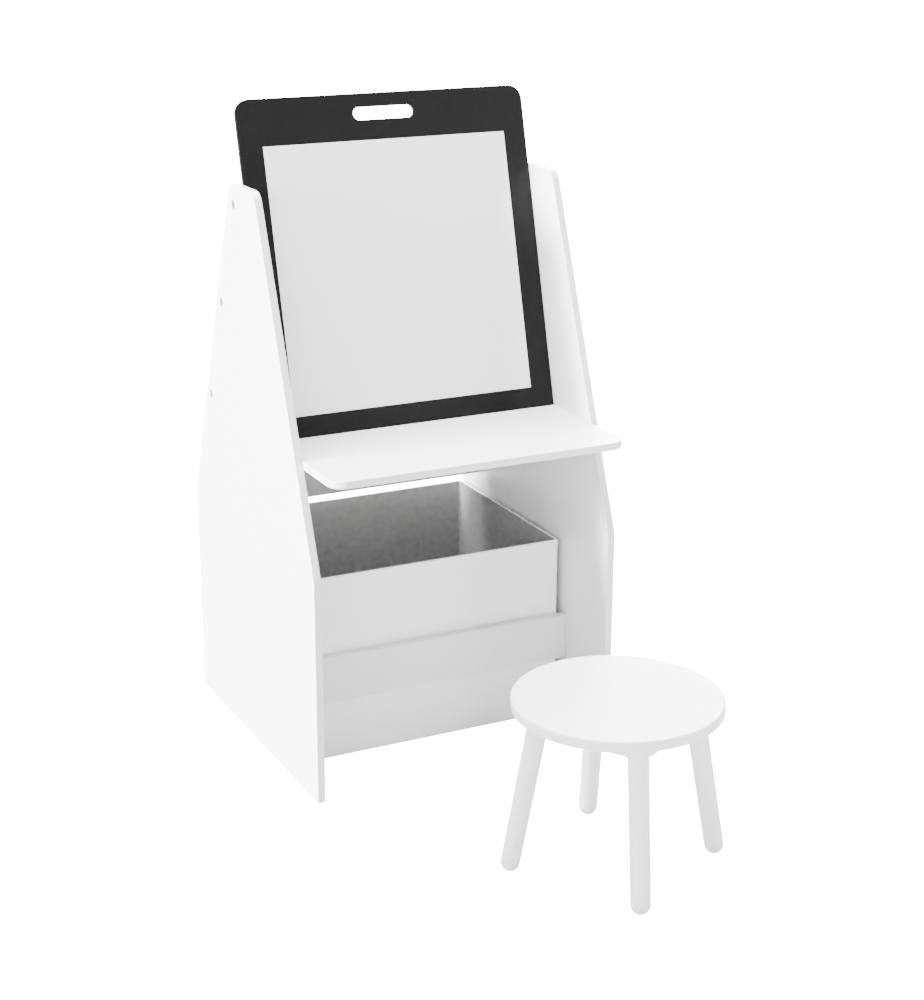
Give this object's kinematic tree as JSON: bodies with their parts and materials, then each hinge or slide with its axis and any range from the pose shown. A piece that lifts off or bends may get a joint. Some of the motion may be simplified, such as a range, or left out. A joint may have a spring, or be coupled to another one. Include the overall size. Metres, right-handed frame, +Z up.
{
  "type": "kids easel",
  "caption": "Free-standing kids easel with a leaning lift-off two-sided board, desk shelf, slide-out fabric storage bin and a matching round stool.",
  "frame": {"origin": "on the floor, midway between the two side panels and midway along them, which is a point on the underside of the storage bin", "axes": "+Z up, -Y the front where the child draws, +X to the right as seen from the front"},
  "size_m": [0.5, 0.9979, 0.9987],
  "materials": {
    "white_lacquer": "white satin-gloss lacquer on fibreboard",
    "painted_rod": "white satin lacquer on a turned hardwood rod",
    "stool_lacquer": "white satin-gloss lacquer on wood",
    "black_lacquer": "black satin lacquer on fibreboard",
    "whiteboard_face": "white dry-wipe melamine, semi-gloss",
    "chalkboard_face": "fine matt slate-black writing surface",
    "bin_fabric": "white non-woven fabric",
    "bin_lining_fabric": "grey non-woven lining",
    "grey_card": "pressed grey card",
    "bare_beech": "unfinished fluted beech",
    "zinc_steel": "zinc-plated steel",
    "zinc_die_cast": "die-cast zinc alloy",
    "brass_insert": "turned brass"
  },
  "bodies": {
    "easel_frame": {"left_side_panel": "white_lacquer", "right_side_panel": "white_lacquer", "desk_top": "white_lacquer", "rear_stretcher": "white_lacquer", "front_rail": "white_lacquer", "top_cross_rod": "painted_rod", "middle_cross_rod": "painted_rod", "lower_cross_rod": "painted_rod", "rod_end_bolts": "zinc_steel", "rod_thread_inserts": "brass_insert", "cam_bolts": "zinc_steel", "cam_locks": "zinc_die_cast", "alignment_dowels": "bare_beech"},
    "drawing_board": {"board_panel": "black_lacquer", "whiteboard_sheet": "whiteboard_face", "chalkboard_sheet": "chalkboard_face"},
    "storage_bin": {"bin_cover": "bin_fabric", "bin_wall_boards": "grey_card", "bin_base_board": "grey_card", "bin_lining": "bin_lining_fabric"},
    "stool": {"stool_seat": "stool_lacquer", "stool_under_plate": "stool_lacquer", "stool_leg_front": "stool_lacquer", "stool_leg_right": "stool_lacquer", "stool_leg_back": "stool_lacquer", "stool_leg_left": "stool_lacquer", "stool_leg_bolts": "zinc_steel", "stool_insert_nuts": "brass_insert", "stool_seat_screws": "zinc_steel"}
  },
  "joints": [
    {"name": "board_lift", "type": "slide", "parent": "easel_frame", "child": "drawing_board", "axis": [0, 0.2531, 0.9674], "range_m": [0, 0.3]},
    {"name": "bin_slide", "type": "slide", "parent": "easel_frame", "child": "storage_bin", "axis": [0, 1, 0], "range_m": [0, 0.36]},
    {"name": "stool_slide", "type": "slide", "parent": "easel_frame", "child": "stool", "axis": [0, 1, 0], "range_m": [-0.1, 0.3]}
  ]
}
